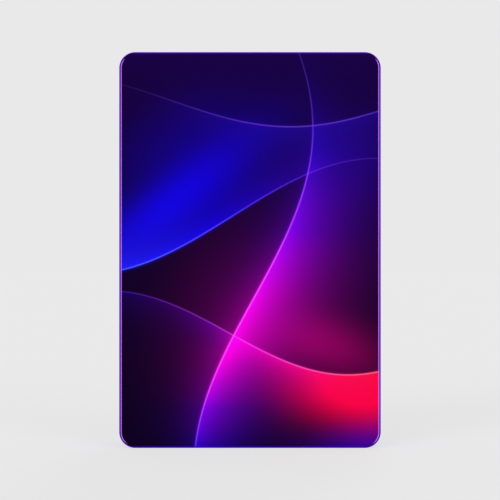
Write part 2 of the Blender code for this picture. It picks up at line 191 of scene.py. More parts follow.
def axesOf(place):
    node = addNode(place, "ShaderNodeSeparateXYZ", {0: place}).node
    return [Field(socket) for socket in node.outputs]


def noise(place, scale, detail, roughness=0.5):
    inputs = {"Vector": place, "Scale": scale, "Detail": detail, "Roughness": roughness}
    return Field(addNode(place, "ShaderNodeTexNoise", inputs))


def shaded(colour, amount):
    # the colour times a field
    inputs = {0: colour, "Scale": amount}
    return addNode(amount, "ShaderNodeVectorMath", inputs, operation="SCALE")


def blended(amount, first, second):
    inputs = {0: amount, 6: first, 7: second}
    return addNode(amount, "ShaderNodeMix", inputs, output=2, data_type="RGBA")


def wornMaterial(name, look):
    # one noise wears the colour and the gloss, and another gives the grain
    material, shader = newMaterial(name, look)
    place = addNode(shader, "ShaderNodeTexCoord", output="Object")
    wear = tone = noise(place, *look["wear"])
    if "cloud" in look:
        tone = (wear + noise(place, *look["cloud"])) / 2
    if "gloss" in look:
        feed(shader.inputs["Roughness"], wear.scaled(*look["gloss"]))
    colour = blended(tone, *look["colours"])
    finishLook(shader, colour, noise(place, *look["grain"]), look["depth"])
    return material


# Knitted polyester: columns of small V-shaped loops, closed by a faint pile.
knit = {
    "wale": 0.00075,  # between the columns
    "course": 0.00060,  # between the rows
    "slant": 0.9,  # how far a loop's legs lean, in rows
    "shares": (0.28, 0.22, 0.35),  # of the ribs, the loops and the fuzz
    "level": 0.3,
    "fuzz": (5200, 2),  # a noise's scale and detail, as in the other looks
    "depth": 0.00024,
    "puckerPitch": 0.011,
    "puckerReach": 0.005,
    "puckerDepth": 1.1,  # times the depth of the knit
    "puckerDrift": 5,
    "drift": (45, 1),
}


def knitHeight(shader):
    place = addNode(shader, "ShaderNodeUVMap", uv_map="weave")
    across, along = axesOf(place)[:2]
    column = (across / knit["wale"]).math("FRACT") - 0.5
    lean = column.math("ABSOLUTE") * knit["slant"]
    ribs = (column * tau).cosine()
    loops = ((along / knit["course"] + lean) * tau).sine()
    fuzz = noise(place, *knit["fuzz"])
    shares = knit["shares"]
    return ribs * shares[0] + loops * shares[1] + fuzz * shares[2] + knit["level"], place


def puckers(shader):
    # short tucks that the sewing thread draws across a seam, and the distance from the seam
    place = addNode(shader, "ShaderNodeUVMap", uv_map="seam")
    along, off = axesOf(place)[:2]
    drift = noise(place, *knit["drift"]) * knit["puckerDrift"]
    waves = (along * (tau / knit["puckerPitch"]) + drift).sine() * knit["puckerDepth"]
    return waves * (off / -knit["puckerReach"]).exponent(), off


# The print: ribbons of light on dark indigo, from colours that vary along each crest
def lighter(total, colour, amount):
    inputs = {0: colour, 1: amount, 2: total}
    return addNode(amount, "ShaderNodeVectorMath", inputs, operation="MULTIPLY_ADD")


def glowSpot(x, z, place, reach, tilt):
    # a soft oval of light, its long axis tilted from level
    lean = radians(tilt)
    x, z = x - place[0], z - place[1]
    along = (x * cos(lean) + z * sin(lean)) / reach[0]
    across = (z * cos(lean) - x * sin(lean)) / reach[1]
    return (-(along * along + across * across)).exponent()


def crest(ahead, level, base, height, pitch, shift, sign):
    # distance from the wave level = base + height * sin(pitch * (ahead + shift)), with its sign
    phase = (ahead + shift) * pitch
    offset = level - (phase.sine() * height + base)
    slope = phase.cosine() * (height * pitch)
    return offset / (slope * slope + 1).math("SQRT") * sign


ribbons = {  # "wave" is as in crest, and "glow" and "line" are times and plus
    "main": {
        "wave": (0.02, -0.34, pi / 1.95, 1.095, 1),
        "lit": [(2.2, 0.8)],  # where its light sets in and is full
        "glow": (1.10, 0.05),
        "fade": (0.15, 0.005),  # ahead and behind
        "rear": (0.10, 0.003, 0.22),  # a weaker glow the other way
        "tint": (
            (0, "2000c0"), (0.10, "8000e0"), (0.24, "ff00e0"), (0.38, "e800e8"),
            (0.55, "8c00ff"), (0.75, "3208f0"), (1, "1400a0"),
        ),
        "line": (0.50, 0.14),
        "lineTint": ((0, "6040ff"), (0.25, "ff60ff"), (0.45, "f060ff"), (1, "7050ff")),
    },
    "blue": {
        "wave": (1.33, 0.33, 1.9, 0.10, 1),
        "lit": [(0.85, -0.6)],
        "glow": (0.85, 0),
        "fade": (0.12, 0.005),
        "tint": ((0, "2020ff"), (0.35, "0800ff"), (0.7, "2c00c0"), (1, "280090")),
        "line": (0.42, 0.10),
        "lineTint": ((0, "6080ff"), (0.5, "7050ff"), (1, "9040ff")),
    },
    "low": {
        "wave": (0.66, -0.24, 2.3, 0.12, -1),
        "lit": [(-0.5, 0.4)],
        "glow": (0.60, 0.15),
        "fade": (0.09, 0.004),
        "tint": (
            (0, "1c00b0"), (0.35, "7000d0"), (0.6, "ff00a0"), (0.85, "ff1048"), (1, "ff1040")
        ),
        "line": (0.36, 0.23),
        "lineTint": ((0, "5030ff"), (0.5, "ff50e0"), (1, "ff80a0")),
    },
    "top": {
        "wave": (1.99, -0.15, 2.3, 0.45, -1),
        "lit": [(-0.7, 0.3), (1.1, 0.5)],
        "glow": (0.26, 0),
        "fade": (0.15, 0.004),
        "tint": ((0, "2a10d0"), (1, "2a10d0")),
        "line": (0.30, 0.05),
        "lineTint": ((0, "9050ff"), (1, "9050ff")),
    },
}
softSpots = [  # colour, middle, reach, tilt in degrees, strength, and the mask it shows in
    ("0000ff", (-0.46, 1.40), (0.52, 0.14), 38, 0.58, "aboveBlue"),
    ("0000d0", (-0.40, 1.72), (0.42, 0.24), 24, 0.22, "aboveBlue"),
    ("5a0040", (-0.15, 0.95), (0.40, 0.28), 50, 0.22, "belowBlue"),
    ("2c00b0", (0.62, 1.62), (0.30, 0.20), 60, 0.18, ""),
    ("ff0038", (0.62, 0.30), (0.32, 0.15), -8, 1.00, "belowLow"),
    ("0800c0", (0.66, 0.00), (0.30, 0.13), 10, 0.55, ""),
    ("c00070", (0.42, 0.60), (0.32, 0.15), -20, 0.40, "aboveLow"),
]
printLook = {
    "Roughness": 0.80,
    "Specular IOR Level": 0.02,
    "Sheen Weight": 0.02,
    "Sheen Roughness": 0.35,
    "ground": ((0, "0c001c"), (0.45, "0f0026"), (0.8, "13002c"), (1, "190044")),
    "lineWidth": 0.0034,
    "softEdge": 0.004,
    "wideEdge": 0.02,
    "rim": (0.010, 0.016),  # violet along the upper and lower edges
    "rimColour": "4000e8",
    "rimShare": 0.40,
    # the colour of the painted highlight line
    "edgeLine": "c274ff",
    # how much painted shade the knit's hollows get
    "yarnShade": 0.22,
    "yarn": (900, 3),
}


def addRibbon(total, wave, ahead, share, look):
    # light that fades slowly on one side of a wave, and a thin bright line along it
    lit = ahead.rise(*look["lit"][0])
    for ends in look["lit"][1:]:
        lit = lit * ahead.rise(*ends)
    tint = share.ramp(*look["tint"])
    glow = lit.scaled(*look["glow"])
    total = lighter(total, tint, glow * wave.fade(*look["fade"]))
    if "rear" in look:
        *reach, strength = look["rear"]
        total = lighter(total, tint, glow * (-wave).fade(*reach) * strength)
    line = lit.scaled(*look["line"]) * wave.bell(printLook["lineWidth"])
    return lighter(total, share.ramp(*look["lineTint"]), line)


def printColour(shader):
    x, y, z = axesOf(addNode(shader, "ShaderNodeTexCoord", output="Object"))
    height, across = z / wallTop, (x + halfWidth) / (2 * halfWidth)
    total = height.ramp(*printLook["ground"])
    waves = {}
    for name, look in ribbons.items():
        ahead, level, share = (z, x, height) if name == "main" else (x, z, across)
        waves[name] = crest(ahead, level, *look["wave"])
        total = addRibbon(total, waves[name], ahead, share, look)

    # soft light behind the ribbons
    main, blue, low = waves["main"], waves["blue"], waves["low"]
    edge, wide = printLook["softEdge"], printLook["wideEdge"]
    rightOfMain = main.rise(-edge, edge)
    masks = {
        "aboveBlue": blue.rise(-edge, edge),
        "belowBlue": (-blue).rise(-wide, wide) * (-main).rise(-wide, wide),
        "aboveLow": (-low).rise(-edge, edge) * rightOfMain,
        "belowLow": low.rise(-edge, edge) * rightOfMain,
    }
    for colour, place, reach, tilt, strength, mask in softSpots:
        glow = glowSpot(x, z, place, reach, tilt) * strength
        total = lighter(total, colour, glow * masks[mask] if mask else glow)

    near, far = printLook["rim"]
    ends = z.rise(far, near) + z.rise(wallTop - far, wallTop - near)
    total = lighter(total, printLook["rimColour"], ends * printLook["rimShare"])
    return addNode(x, "ShaderNodeVectorMath", {0: total, 1: (1, 1, 1)}, operation="MINIMUM")


def printedCloth():
    material, shader = newMaterial("printedCloth", printLook)
    # the painted highlight line along the sides, laid over the print
    line = addNode(shader, "ShaderNodeAttribute", output="Fac", attribute_name="edgeLine")
    highlighted = blended(line, printColour(shader), printLook["edgeLine"])
    height, weave = knitHeight(shader)
    # painted shade where the knit is low, with a little random tone
    shade = printLook["yarnShade"]
    yarn = (height + noise(weave, *printLook["yarn"])).scaled(shade, 1 - shade)
    finishLook(shader, shaded(highlighted, yarn), height + puckers(shader)[0], knit["depth"])
    return material


dyeAndShade = {
    "Roughness": 0.8,
    "Sheen Roughness": 0.4,
    "blotches": (14, 4),
    "specks": (700, 3),
    "contrast": 0.45,
    "level": -0.35,
    "crease": (0.003, 0.0095),  # painted shade along the seam, by distance from it: darkest up to the first, none from the second
}


def dyedAndShadedCloth(name, look):
    # plain dyed knit: a little uneven in its dye, with painted shade between the loops and along the
    # seams
    material, shader = newMaterial(name, {**dyeAndShade, **look})
    height, weave = knitHeight(shader)
    uneven = noise(weave, *dyeAndShade["blotches"]) + noise(weave, *dyeAndShade["specks"])
    # partly random dye tone, partly painted shade where the knit is low
    tone = (height + uneven).scaled(dyeAndShade["contrast"], dyeAndShade["level"])
    tucks, off = puckers(shader)
    shade = look["seamShade"]
    # painted shade in the seam's crease: the colour is darkened near the seam
    crease = off.rise(*dyeAndShade["crease"]).scaled(1 - shade, shade)
    colour = shaded(blended(tone, *look["colours"]), crease)
    finishLook(shader, colour, height + tucks, knit["depth"])
    return material


# Mesh helpers
def placed(name, data):
    thing = bpy.data.objects.new(name, data)
    scene.collection.objects.link(thing)
    return thing


def newPiece(name, mesh, material, body="wall"):
    piece = placed(name, mesh)
    if material:
        mesh.materials.append(material)
    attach(piece, body)
    return piece


def meshFrom(bm, name):
    mesh = bpy.data.meshes.new(name)
    bm.to_mesh(mesh)
    bm.free()
    return mesh


def evaluatedMesh(name, source, build=None):
    # runs a mesh or curve through modifiers and gives back a plain mesh
    carrier = placed(name, source)
    if build:
        build(carrier)
    graph = bpy.context.evaluated_depsgraph_get()
    made = bpy.data.meshes.new_from_object(
        carrier.evaluated_get(graph), preserve_all_data_layers=True, depsgraph=graph
    )
    bpy.data.objects.remove(carrier, do_unlink=True)
    made.name = name
    return made


def thickened(name, bm, thickness):
    def thicken(carrier):
        modifier = carrier.modifiers.new("thickness", "SOLIDIFY")
        modifier.thickness = thickness
        modifier.offset = -1

    return evaluatedMesh(name, meshFrom(bm, name), thicken)


def joinRows(bm, rows, closed=False):
    # faces between rows of points
    made = []
    for low, high in zip(rows, rows[1:]):
        for step in range(len(low) if closed else len(low) - 1):
            after = (step + 1) % len(low)
            made.append(bm.faces.new((low[step], low[after], high[after], high[step])))
    return made


def faceOutwards(bm):
    bmesh.ops.recalc_face_normals(bm, faces=bm.faces)
    bm.normal_update()
    centre = Vector((0, 0, midHeight))
    away = sum((f.calc_center_median() - centre).dot(f.normal) * f.calc_area() for f in bm.faces)
    if away < 0:
        bmesh.ops.reverse_faces(bm, faces=bm.faces)
    bm.normal_update()


# The cover's outline is four runs, each from the middle of a corner to the middle of the next.
runNames = ["right", "top", "left", "bottom"]


def cornerCentre(number):
    signs = [(1, -1), (1, 1), (-1, 1), (-1, -1)][number % 4]
    return Vector((signs[0] * coreHalf.x, midHeight + signs[1] * coreHalf.y))


def halfOf(run):
    # half the straight length of a run
    return coreHalf.y if run % 2 == 0 else coreHalf.x


def runStations(run, shares, gap=0.0):
    # each station is the centre that the outline turns about, and the way it faces there
    start, end = cornerCentre(run), cornerCentre(run + 1)
    facing = run * pi / 2
    eighth = pi / 4 - gap / cornerRadius
    steps = cover["cornerSteps"]
    first = [(start, facing - eighth * (1 - step / steps)) for step in range(steps)]
    middle = [(start.lerp(end, share), facing) for share in shares]
    last = [(end, facing + eighth * step / steps) for step in range(1, steps + 1)]
    return first + middle + last


def evenShares(count):
    return [step / count for step in range(count + 1)]


# Between the front and back tubes the tight cloth sinks where it turns a corner, in soft folds.
cornerSag = {"depth": 0.010, "reach": 0.12, "foldHeight": 0.0005, "foldPitch": 0.027}


def sagAt(station, y):
    centre, facing = station
    across = 1 - (y / sideHalf) ** 2
    if across <= 0:
        return 0.0
    ahead = cornerRadius * (facing % (pi / 2) - pi / 4)
    off = min((centre - cornerCentre(number)).length for number in range(4))
    sag = cornerSag["depth"] * exp(-(((abs(ahead) + off) / cornerSag["reach"]) ** 2))
    bend = 1 - (ahead / (cornerRadius * pi / 4)) ** 2 if off < 1e-6 else 0.0
    fold = cornerSag["foldHeight"] * sin(tau * ahead / cornerSag["foldPitch"])
    return sag * across ** 2 + fold * across * bend ** 2


def placeAt(station, reach, y):
    centre, facing = station
    reach -= sagAt(station, y)
    return Vector((centre.x + cos(facing) * reach, y, centre.y + sin(facing) * reach))


def edgeRow(turn, side):
    # how far out, and where in depth, the cloth is after turning so far round the edge
    reach = flatReach + edgeRadius * sin(turn)
    return reach, side * (sideHalf + edgeRadius * cos(turn))


def loft(bm, rows, stations, closed=False):
    joinRows(bm, [[bm.verts.new(placeAt(spot, *row)) for spot in stations] for row in rows], closed)


def turnIn(bm):
    # every cut edge rolls over and is turned in, as a sewn edge is
    bm.normal_update()
    border = [edge for edge in bm.edges if edge.is_boundary]
    inward = {vert.co.to_tuple(6): vert.normal.copy() for edge in border for vert in edge.verts}
    made = bmesh.ops.extrude_edge_only(bm, edges=border)["geom"]
    for vert in [item for item in made if isinstance(item, bmesh.types.BMVert)]:
        vert.co -= inward[vert.co.to_tuple(6)] * cover["hemDepth"]
    bmesh.ops.bevel(
        bm, geom=border, offset=cover["hemRoll"], segments=3, profile=0.5, affect="EDGES"
    )


def alongRun(point, run):
    # distance along a run's outside, from its middle
    facing = run % 4 * pi / 2
    ahead = Vector((-sin(facing), cos(facing)))
    outwards = Vector((cos(facing), sin(facing)))
    flat = Vector((point.x, point.z - midHeight))
    half = halfOf(run)
    depth = halfOf(run + 1)
    reach = flat.dot(ahead)
    if abs(reach) <= half:
        return reach
    turn = atan2(abs(reach) - half, max(flat.dot(outwards) - depth, 1e-6))
    return copysign(half + cornerRadius * turn, reach)


def girth(point):
    # distance over the edge from the middle of the gusset, and that from the nearest seam
    out = Vector((max(abs(point.x) - coreHalf.x, 0), max(abs(point.z - midHeight) - coreHalf.y, 0)))
    bend = abs(point.y) - sideHalf
    if bend <= 0:
        over = abs(point.y)
    else:
        over = sideHalf + edgeRadius * atan2(bend, max(out.length - flatReach, 1e-6))
    seamAt = sideHalf + edgeRadius * (pi / 2 - seamTurn)
    if bend > 0 and out.length < flatReach:
        over += flatReach - out.length
    return copysign(over, point.y), abs(over - seamAt)


def mapCloth(mesh, gusset):
    # two UV maps in metres: the knit's own directions, and the place along and off the seam
    weave = mesh.uv_layers.new(name="weave")
    seam = mesh.uv_layers.new(name="seam")
    for face in mesh.polygons:
        middle = face.center
        if abs(middle.x) - coreHalf.x > abs(middle.z - midHeight) - coreHalf.y:
            run = 0 if middle.x > 0 else 2
        else:
            run = 1 if middle.z > midHeight else 3
        for corner in face.loop_indices:
            point = mesh.vertices[mesh.loops[corner].vertex_index].co
            over, off = girth(point)
            along = alongRun(point, run)
            drop = cover["weaveDrop"] * (halfDepth - abs(point.y))
            weave.data[corner].uv = (along, over) if gusset else (point.x + drop, point.z + drop)
            seam.data[corner].uv = (along, off)


def clothMesh(name, bm, gusset):
    mesh = thickened(name, bm, cover["clothThickness"])
    mesh.shade_smooth()
    mapCloth(mesh, gusset)
    return mesh


# Front and back panels: a rim of rows round a core of even squares.
panelGrid = {
    "front": (84, 128),
    "back": (188, 128),
    "rimRows": 4,
    "seamRows": (0.004, 0.009, 0.016),
}
slotZ = (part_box("zip_tape_upper")[0].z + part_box("zip_tape_lower")[1].z) / 2
zipSlot = {
    "half": 0.64,
    "opening": 0.010,
    "rowReach": 0.012,  # rows of the mesh beside the slot
    "rowClear": 0.004,
    "rippleDepth": 0.00035,
    "ripplePitch": 0.058,
    "rippleDrift": (1.3, 7),
    "rippleReach": 0.026,
    "rippleEnd": 0.05,
}


def rippleAt(x, z):
    # the zip draws the back cloth in a little, in shallow waves
    off = (z - slotZ) / zipSlot["rippleReach"]
    ends = max(0.0, 1 - max(0.0, abs(x) - zipSlot["half"]) / zipSlot["rippleEnd"])
    amount, pitch = zipSlot["rippleDrift"]
    wave = sin(tau * x / zipSlot["ripplePitch"] + amount * sin(pitch * x))
    return zipSlot["rippleDepth"] * (0.5 + 0.5 * wave) * exp(-off * off) * ends


def openSlot(bm):
    middles = {face: face.calc_center_median() for face in bm.faces}
    half, rise = zipSlot["half"], zipSlot["opening"] / 2
    inside = [f for f, place in middles.items() if abs(place.x) < half and abs(place.z - slotZ) < rise]
    bmesh.ops.delete(bm, geom=inside, context="FACES")


def makePanel(face):
    side = -1 if face == "front" else 1
    wideShares, tallShares = [evenShares(count) for count in panelGrid[face]]
    reaches = [flatReach * share for share in evenShares(panelGrid["rimRows"])]
    reaches += [flatReach - off for off in panelGrid["seamRows"]]
    if face == "back":
        middle, half = cornerRadius - slotZ, zipSlot["opening"] / 2
        offs = (-zipSlot["rowReach"], -half, half, zipSlot["rowReach"])
        slotRows = [middle + off for off in offs]
        clear = zipSlot["rowClear"]
        reaches = [r for r in reaches if min(abs(r - row) for row in slotRows) > clear] + slotRows
        end = (coreHalf.x - zipSlot["half"]) / (2 * coreHalf.x)
        wideShares = sorted(wideShares + [end, 1 - end])
    rows = [(reach, side * halfDepth) for reach in sorted(set(reaches))]
    lastTurn = seamTurn - cover["seamGap"] / 2 / edgeRadius
    rows += [edgeRow(lastTurn * share, side) for share in evenShares(cover["edgeSteps"])[1:]]
    stations = []
    for run in range(4):
        stations += runStations(run, tallShares if run % 2 == 0 else wideShares)[:-1]
    bm = bmesh.new()
    loft(bm, rows, stations, closed=True)
    core = []
    for up in tallShares:
        z = midHeight + coreHalf.y * (2 * up - 1)
        wide = [coreHalf.x * (2 * across - 1) for across in wideShares]
        core.append([bm.verts.new((x, side * halfDepth, z)) for x in wide])
    joinRows(bm, core)
    bmesh.ops.remove_doubles(bm, verts=bm.verts, dist=mergeWithin)
    if face == "back":
        openSlot(bm)
    faceOutwards(bm)
    turnIn(bm)
    if face == "back":
        for vert in bm.verts:
            vert.co.y -= rippleAt(vert.co.x, vert.co.z)
    return clothMesh(f"{face}Cloth", bm, gusset=False)


# A painted highlight: a lilac line runs down both sides where the print turns over the edge, and fades
# in the corners.
edgeLine = {
    "from": 7.5,  # degrees round the edge
    "to": 21.0,
    "soft": 2.0,
    "fadeTop": (0.70, 0.97),
    "fadeFoot": (0.50, 0.88),
}


def smooth(value, low, high):
    share = min(max((value - low) / (high - low), 0), 1)
    return share * share * (3 - 2 * share)


def paintHighlightLine(mesh):
    # each point's share of the painted highlight: a band round the edge, fading in the corners
    values = mesh.attributes.new("edgeLine", "FLOAT", "POINT").data
    for vert in mesh.vertices:
        point = vert.co
        out = Vector((abs(point.x) - coreHalf.x, max(abs(point.z - midHeight) - coreHalf.y, 0)))
        if out.x <= 0:
            continue
        turn = degrees(atan2(out.length - flatReach, -point.y - sideHalf))
        band = smooth(turn, edgeLine["from"] - edgeLine["soft"], edgeLine["from"])
        band *= 1 - smooth(turn, edgeLine["to"], edgeLine["to"] + edgeLine["soft"])
        fade = edgeLine["fadeTop" if point.z > midHeight else "fadeFoot"]
        values[vert.index].value = band * smooth(out.x / out.length, *fade)


frontCloth = makePanel("front")
paintHighlightLine(frontCloth)
printed = printedCloth()
front = newPiece("printed_front", frontCloth, printed)
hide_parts("front_panel")
print("front panel done")

backLook = {
    "colours": ("1c0a42", "301462"),  # deep and full
    "Specular IOR Level": 0.04,
    "Sheen Weight": 0.10,
    "Sheen Tint": "8070c0",
    "seamShade": 0.6,
}
plainBack = dyedAndShadedCloth("backCloth", backLook)
back = newPiece("plain_back", makePanel("back"), plainBack)
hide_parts("back_panel")
print("back panel done")

# Gusset strips
gussetLook = {
    "colours": ("6a10e0", "8c20f8"),
    "Specular IOR Level": 0.0,
    "Sheen Weight": 0.02,
    "Sheen Tint": "6020ff",
    "seamShade": 0.22,
    "sideSteps": 24,
    "shares": {"right": 120, "top": 84, "left": 120, "bottom": 84},
}
violet = dyedAndShadedCloth("edgeCloth", gussetLook)


def gussetRows(off):
    # rows from one panel's seam round the edge and over to the other's
    firstTurn = seamTurn + off / edgeRadius
    steps = cover["edgeSteps"]
    bend = [firstTurn + (pi / 2 - firstTurn) * step / steps for step in range(steps + 1)]
    sides = gussetLook["sideSteps"]
    rows = [edgeRow(turn, -1) for turn in bend]
    rows += [(cornerRadius, sideHalf * (2 * step / sides - 1)) for step in range(1, sides)]
    return rows + [edgeRow(turn, 1) for turn in reversed(bend)]


def makeGusset(run):
    name = runNames[run]
    gap = cover["seamGap"] / 2
    bm = bmesh.new()
    loft(bm, gussetRows(gap), runStations(run, evenShares(gussetLook["shares"][name]), gap))
    faceOutwards(bm)
    turnIn(bm)
    mesh = clothMesh(f"edge_{name}", bm, gusset=True)
    strip = newPiece(f"edge_strip_{name}", mesh, violet)
    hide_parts(f"gusset_{name}")


for run in range(4):
    makeGusset(run)
print("edge strips done")


# Geometry Nodes: a row of stitches along a path, and a flattened coil
def nodeGroup(name, inputs, build):
    # a tree with named inputs: what build gives is realized, smoothed and painted
    tree = bpy.data.node_groups.new(name, "GeometryNodeTree")
    for label, kind in {"Geometry": "Geometry", **inputs, "Material": "Material"}.items():
        tree.interface.new_socket(label, in_out="INPUT", socket_type=f"NodeSocket{kind}")
    tree.interface.new_socket("Geometry", in_out="OUTPUT", socket_type="NodeSocketGeometry")
    given = tree.nodes.new("NodeGroupInput").outputs
    flow = build({socket.name: Field(socket) for socket in given if socket.name})
    for kind in ("RealizeInstances", "SetShadeSmooth", "SetMaterial"):
        flow = addNode(tree, f"GeometryNode{kind}", {0: flow})
    feed(flow.node.inputs["Material"], given["Material"])
    feed(tree.nodes.new("NodeGroupOutput").inputs[0], flow)
    return tree


def vector(*parts):
    near = next(part for part in parts if isinstance(part, Field))
    return addNode(near, "ShaderNodeCombineXYZ", dict(enumerate(parts)))


def stitchRow(given):
    # long beads along a path
    start = given["Geometry"]
    path = addNode(start, "GeometryNodeMeshToCurve", {0: start})
    pitch = {0: path, "Length": given["Pitch"]}
    points = addNode(start, "GeometryNodeResampleCurve", pitch, mode="LENGTH")
    tangent = addNode(start, "GeometryNodeInputTangent")
    turn = addNode(start, "FunctionNodeAlignRotationToVector", {"Vector": tangent}, axis="X")
    bead = addNode(start, "GeometryNodeMeshUVSphere", {"Segments": 6, "Rings": 5, "Radius": 0.5})
    lying = addNode(start, "GeometryNodeTransform", {0: bead, "Rotation": (0, pi / 2, 0)})
    size = vector(given["Length"], given["Thread"], given["Thread"])
    inputs = {0: points, "Instance": lying, "Rotation": turn, "Scale": size}
    return addNode(start, "GeometryNodeInstanceOnPoints", inputs)


def zipWire(given):
    # a flattened helix along a straight line
    half = given["Half Length"]
    line = addNode(half, "GeometryNodeCurvePrimitiveLine", {0: vector(-half), 1: vector(half)})
    count = {0: line, "Count": given["Points"]}
    points = addNode(half, "GeometryNodeResampleCurve", count)
    index = Field(addNode(half, "GeometryNodeInputIndex"))
    angle = index * (tau / zipCoil["pointsPerTurn"]) + given["Phase"]
    offset = vector(0, angle.sine() * given["Deep"], angle.cosine() * given["Wide"])
    shift = addNode(half, "ShaderNodeVectorMath", {0: offset, 1: given["Centre"]})
    coil = addNode(half, "GeometryNodeSetPosition", {0: points, "Offset": shift})
    section = {"Resolution": 6, "Radius": given["Wire"]}
    ring = addNode(half, "GeometryNodeCurvePrimitiveCircle", section)
    inputs = {0: coil, "Profile Curve": ring, "Fill Caps": True}
    return addNode(half, "GeometryNodeCurveToMesh", inputs)


def grown(name, mesh, tree, values):
    # the mesh that a tree makes of a starting mesh
    def build(carrier):
        modifier = carrier.modifiers.new("nodes", "NODES")
        modifier.node_group = tree
        for item in tree.interface.items_tree:
            if item.in_out == "INPUT" and item.name in values:
                modifier[item.identifier] = values[item.name]

    return evaluatedMesh(name, mesh, build)


def pathMesh(name, points, closed=False):
    bm = bmesh.new()
    knots = [bm.verts.new(point) for point in points]
    for first, second in zip(knots, knots[1:]):
        bm.edges.new((first, second))
    if closed:
        bm.edges.new((knots[-1], knots[0]))
    return meshFrom(bm, name)


threadLook = {
    "Roughness": 0.5,
    "Specular IOR Level": 0.12,
    "Sheen Weight": 0.03,
    "wear": (3800, 2),
    "grain": (3800, 2),
    "depth": 0.00005,
}
violetThread = wornMaterial("violetThread", {**threadLook, "colours": ("40109c", "6c28d8")})
darkThread = wornMaterial("darkThread", {**threadLook, "colours": ("2a1656", "4c2e8c")})
stitching = {
    "thread": 0.00042,
    "off": 0.0024,  # from the seam, or from the zip's slot
    "ends": 0.003,  # from the slot to the rows across its ends
    "endShare": 0.82,  # how much of the slot's height those rows take
    "edge": {"Pitch": 0.0036, "Length": 0.0029, "Material": violetThread},
    "back": {"Pitch": 0.0030, "Length": 0.0024, "Material": darkThread},
}
rowInputs = {"Pitch": "Float", "Length": "Float", "Thread": "Float"}
rowTree = nodeGroup("stitchRow", rowInputs, stitchRow)


def sewRow(name, points, cloth, closed=False):
    values = {"Thread": stitching["thread"], **stitching[cloth]}
    mesh = grown(name, pathMesh(name, points, closed), rowTree, values)
    newPiece(name, mesh, None)


turnOfRow = seamTurn + stitching["off"] / edgeRadius
for face, side in (("front", -1), ("back", 1)):
    loop = []
    for run in range(4):
        for station in runStations(run, evenShares(40))[:-1]:
            loop.append(placeAt(station, *edgeRow(turnOfRow, side)))
    sewRow(f"edge_stitching_{face}", loop, "edge", closed=True)
for run in range(4):
    corner = runStations(run, [0, 1], stitching["off"])[-1]
    across = [placeAt(corner, *row) for row in gussetRows(stitching["off"])]
    sewRow(f"corner_stitching_{runNames[run]}", across, "edge")

# two rows round the zip's slot, on the waves of the cloth
rowHalf = zipSlot["half"] + stitching["ends"]
rowOff = zipSlot["opening"] / 2 + stitching["off"]
for name, side in (("upper", 1), ("lower", -1)):
    z = slotZ + side * rowOff
    row = [rowHalf * (2 * share - 1) for share in evenShares(320)]
    row = [Vector((x, backFace - rippleAt(x, z), z)) for x in row]
    sewRow(f"zip_stitching_{name}", row, "back")
for name, side in (("left", -1), ("right", 1)):
    reach = rowOff * stitching["endShare"]
    row = [slotZ + reach * (2 * share - 1) for share in evenShares(4)]
    row = [Vector((side * rowHalf, backFace - rippleAt(side * rowHalf, z), z)) for z in row]
    sewRow(f"zip_stitching_{name}", row, "back")
print("stitching done")

# Zip: two woven tapes and the nylon coil on each
zipTape = {
    "Roughness": 0.75,
    "Specular IOR Level": 0.15,
    "Sheen Weight": 0.25,
    "colours": ("08080c", "24242c"),
    "twill": (0.0009, 0.0005),  # across and along
    "threadPitch": 0.00035,
    "shares": (0.35, 0.15, 0.4),  # of the twill, the threads and the fuzz
    "level": 0.3,
    "fuzz": (3000, 2),
    "depth": 0.00012,
    "below": 0.0011,  # under the back cloth's face
    "inner": 0.0006,  # from the zip's middle line
    "cordEdge": ((0, -0.00010), (0.0006, 0), (0.0030, 0), (0.0036, -0.0002)),  # off and lift
    "outerEdge": ((0.002, -0.0002), (0.0014, -0.00005), (0, -0.0002)),
    "thickness": 0.0005,
    "steps": 130,
}
zipCoil = {
    "Roughness": 0.38,
    "wear": (420, 4),
    "colours": ("0a0a0e", "2a2a32"),
    "grain": (2600, 2),
    "depth": 0.00003,
    "half": 0.63,
    "pitch": 0.0017,
    "pointsPerTurn": 12,
    "wire": 0.00032,
    "inner": 0.00038,  # from the middle line, so that the slider's blade passes
    "outer": 0.0029,
    "top": 0.00055,  # above the back cloth's face
    "bottom": -0.00105,
}
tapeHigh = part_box("zip_tape_upper")[1]


def tapeMaterial():
    material, shader = newMaterial("zipTape", zipTape)
    place = addNode(shader, "ShaderNodeUVMap", uv_map="weave")
    across, along = axesOf(place)[:2]
    wide, tall = zipTape["twill"]
    twill = ((across / wide + along / tall) * tau).sine()
    threads = (along * (tau / zipTape["threadPitch"])).sine()
    fuzz = noise(place, *zipTape["fuzz"])
    shares = zipTape["shares"]
    height = twill * shares[0] + threads * shares[1] + fuzz * shares[2] + zipTape["level"]
    # the colour follows the weave's height: painted shade in its hollows
    finishLook(shader, blended(height, *zipTape["colours"]), height, zipTape["depth"])
    return material


def makeTape(name, side):
    # a thin woven strip with a thicker, rounded edge on the coil's side
    width = tapeHigh.z - slotZ - zipTape["inner"]
    profile = [*zipTape["cordEdge"], *((width - off, lift) for off, lift in zipTape["outerEdge"])]
    ahead = [tapeHigh.x * (2 * share - 1) for share in evenShares(zipTape["steps"])]
    bm = bmesh.new()
    rows = []
    for off, lift in profile:
        y = backFace - zipTape["below"] + lift
        z = slotZ + side * (zipTape["inner"] + off)
        rows.append([bm.verts.new((x, y, z)) for x in ahead])
    joinRows(bm, rows)
    faceOutwards(bm)
    mesh = thickened(f"tape_{name}", bm, zipTape["thickness"])
    layer = mesh.uv_layers.new(name="weave")
    for corner in mesh.loops:
        point = mesh.vertices[corner.vertex_index].co
        layer.data[corner.index].uv = (point.x, point.z)
    return mesh, (2 * tapeHigh.x, width)


